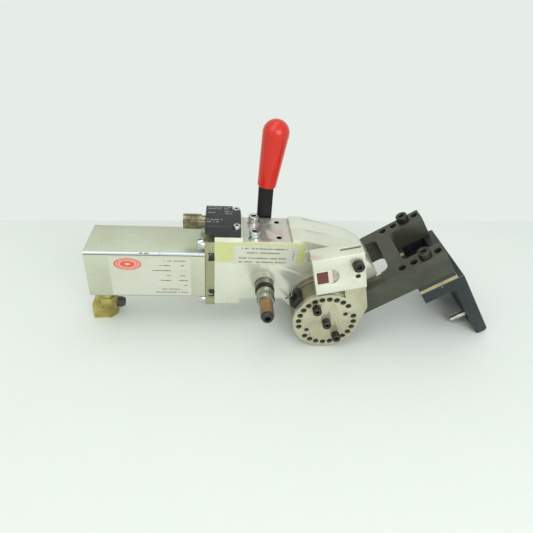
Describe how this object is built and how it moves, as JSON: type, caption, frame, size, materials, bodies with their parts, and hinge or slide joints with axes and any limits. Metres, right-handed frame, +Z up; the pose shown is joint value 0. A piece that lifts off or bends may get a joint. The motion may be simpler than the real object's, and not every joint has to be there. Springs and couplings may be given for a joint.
{
  "type": "pneumatic swing clamp unit",
  "caption": "Square air cylinder with a rack-and-pinion head that swings a fork arm with an angle bracket; side hand lever, index disc, position indicator and sensor.",
  "frame": {"origin": "on top of the mounting pad, midway between its two free threaded holes", "axes": "+X along the cylinder towards the arm, +Y away from the index disc side, +Z up out of the pad"},
  "size_m": [0.3442, 0.1018, 0.1722],
  "materials": {
    "tube_aluminium": "anodised, satin",
    "cast_cream": "glossy lacquer over cast aluminium",
    "pad_aluminium": "milled, satin",
    "flange_bronze": "brushed, warm grey",
    "zinc_steel": "zinc plated",
    "black_steel": "black oxide, oiled",
    "bright_steel": "ground",
    "gear_steel": "milled and oiled",
    "seal_rubber": "matt",
    "bush_bronze": "machined",
    "fitting_brass": "nickel free brass, dull",
    "collet_plastic": "moulded",
    "sensor_plastic": "moulded, fine grain",
    "connector_nickel": "threaded, dull nickel",
    "label_film": "printed film",
    "strip_film": "clear yellow film",
    "hub_coating": "burnished brown",
    "disc_coating": "plated, satin",
    "arm_coating": "black oxide, brushed",
    "bracket_coating": "black oxide, satin",
    "shim_brass": "rolled strip",
    "copper_sleeve": "burnished",
    "black_plastic": "moulded",
    "lever_black": "semi gloss",
    "grip_red": "moulded, semi gloss",
    "insert_cream": "moulded",
    "lens_red": "tinted, polished",
    "knob_steel": "polished"
  },
  "bodies": {
    "housing": {"cylinder_tube": "tube_aluminium", "rear_plug": "bright_steel", "rear_plug_seal": "seal_rubber", "rear_ring": "black_steel", "flange_plate": "flange_bronze", "flange_screws": "zinc_steel", "tube_screws": "black_steel", "rod_bush": "bush_bronze", "rod_seal": "seal_rubber", "head_front_half": "cast_cream", "head_back_half": "cast_cream", "head_screws": "black_steel", "mount_pad": "pad_aluminium", "pad_screws": "zinc_steel", "pad_washers": "zinc_steel", "sensor_body": "sensor_plastic", "sensor_connector": "connector_nickel", "sensor_screws": "zinc_steel", "elbow_fitting": "fitting_brass", "elbow_collet": "collet_plastic", "cylinder_label": "label_film", "head_label": "label_film", "warning_strip": "strip_film", "shaft_bushes": "bush_bronze", "lever_bushes": "gear_steel", "bearing_covers": "hub_coating"},
    "ram": {"piston": "bright_steel", "piston_seal": "seal_rubber", "piston_rod": "bright_steel", "rack_bar": "gear_steel"},
    "hand_lever": {"lever_shaft": "bright_steel", "lever_finger": "gear_steel", "spindle_ring": "black_steel", "spindle_collar": "bright_steel", "spindle_sleeve": "copper_sleeve", "spindle_tip": "black_plastic", "lever_bar": "lever_black", "lever_grip": "grip_red", "lever_screw": "black_steel"},
    "swing_arm": {"output_shaft": "bright_steel", "output_pinion": "gear_steel", "hub_drum": "hub_coating", "stop_dog": "black_steel", "dog_screw": "black_steel", "index_disc": "disc_coating", "disc_screws": "black_steel", "arm_fork": "arm_coating", "far_hub_screw": "black_steel", "indicator_block": "cast_cream", "indicator_insert": "insert_cream", "indicator_lens": "lens_red", "indicator_knob": "knob_steel", "indicator_screw": "black_steel", "tip_bracket": "bracket_coating", "spacer_plate": "black_plastic", "shim_pack": "shim_brass", "arm_screws": "black_steel", "dowel_pins": "bright_steel"}
  },
  "joints": [
    {"name": "arm_swing", "type": "hinge", "parent": "housing", "child": "swing_arm", "pos_m": [0.0397, 0, -0.0569], "axis": [0, 1, 0], "range_deg": [-25, 70]},
    {"name": "ram_slide", "type": "slide", "parent": "housing", "child": "ram", "axis": [1, 0, 0], "range_m": [-0.0065, 0.017]},
    {"name": "lever_turn", "type": "hinge", "parent": "housing", "child": "hand_lever", "pos_m": [-0.0098, 0, -0.041], "axis": [0, 1, 0], "range_deg": [-17, 47]}
  ],
  "couplings": [
    {"joint": "ram_slide", "follows": "arm_swing", "m_per_rad": 0.0135},
    {"joint": "lever_turn", "follows": "arm_swing", "ratio": 0.66}
  ]
}
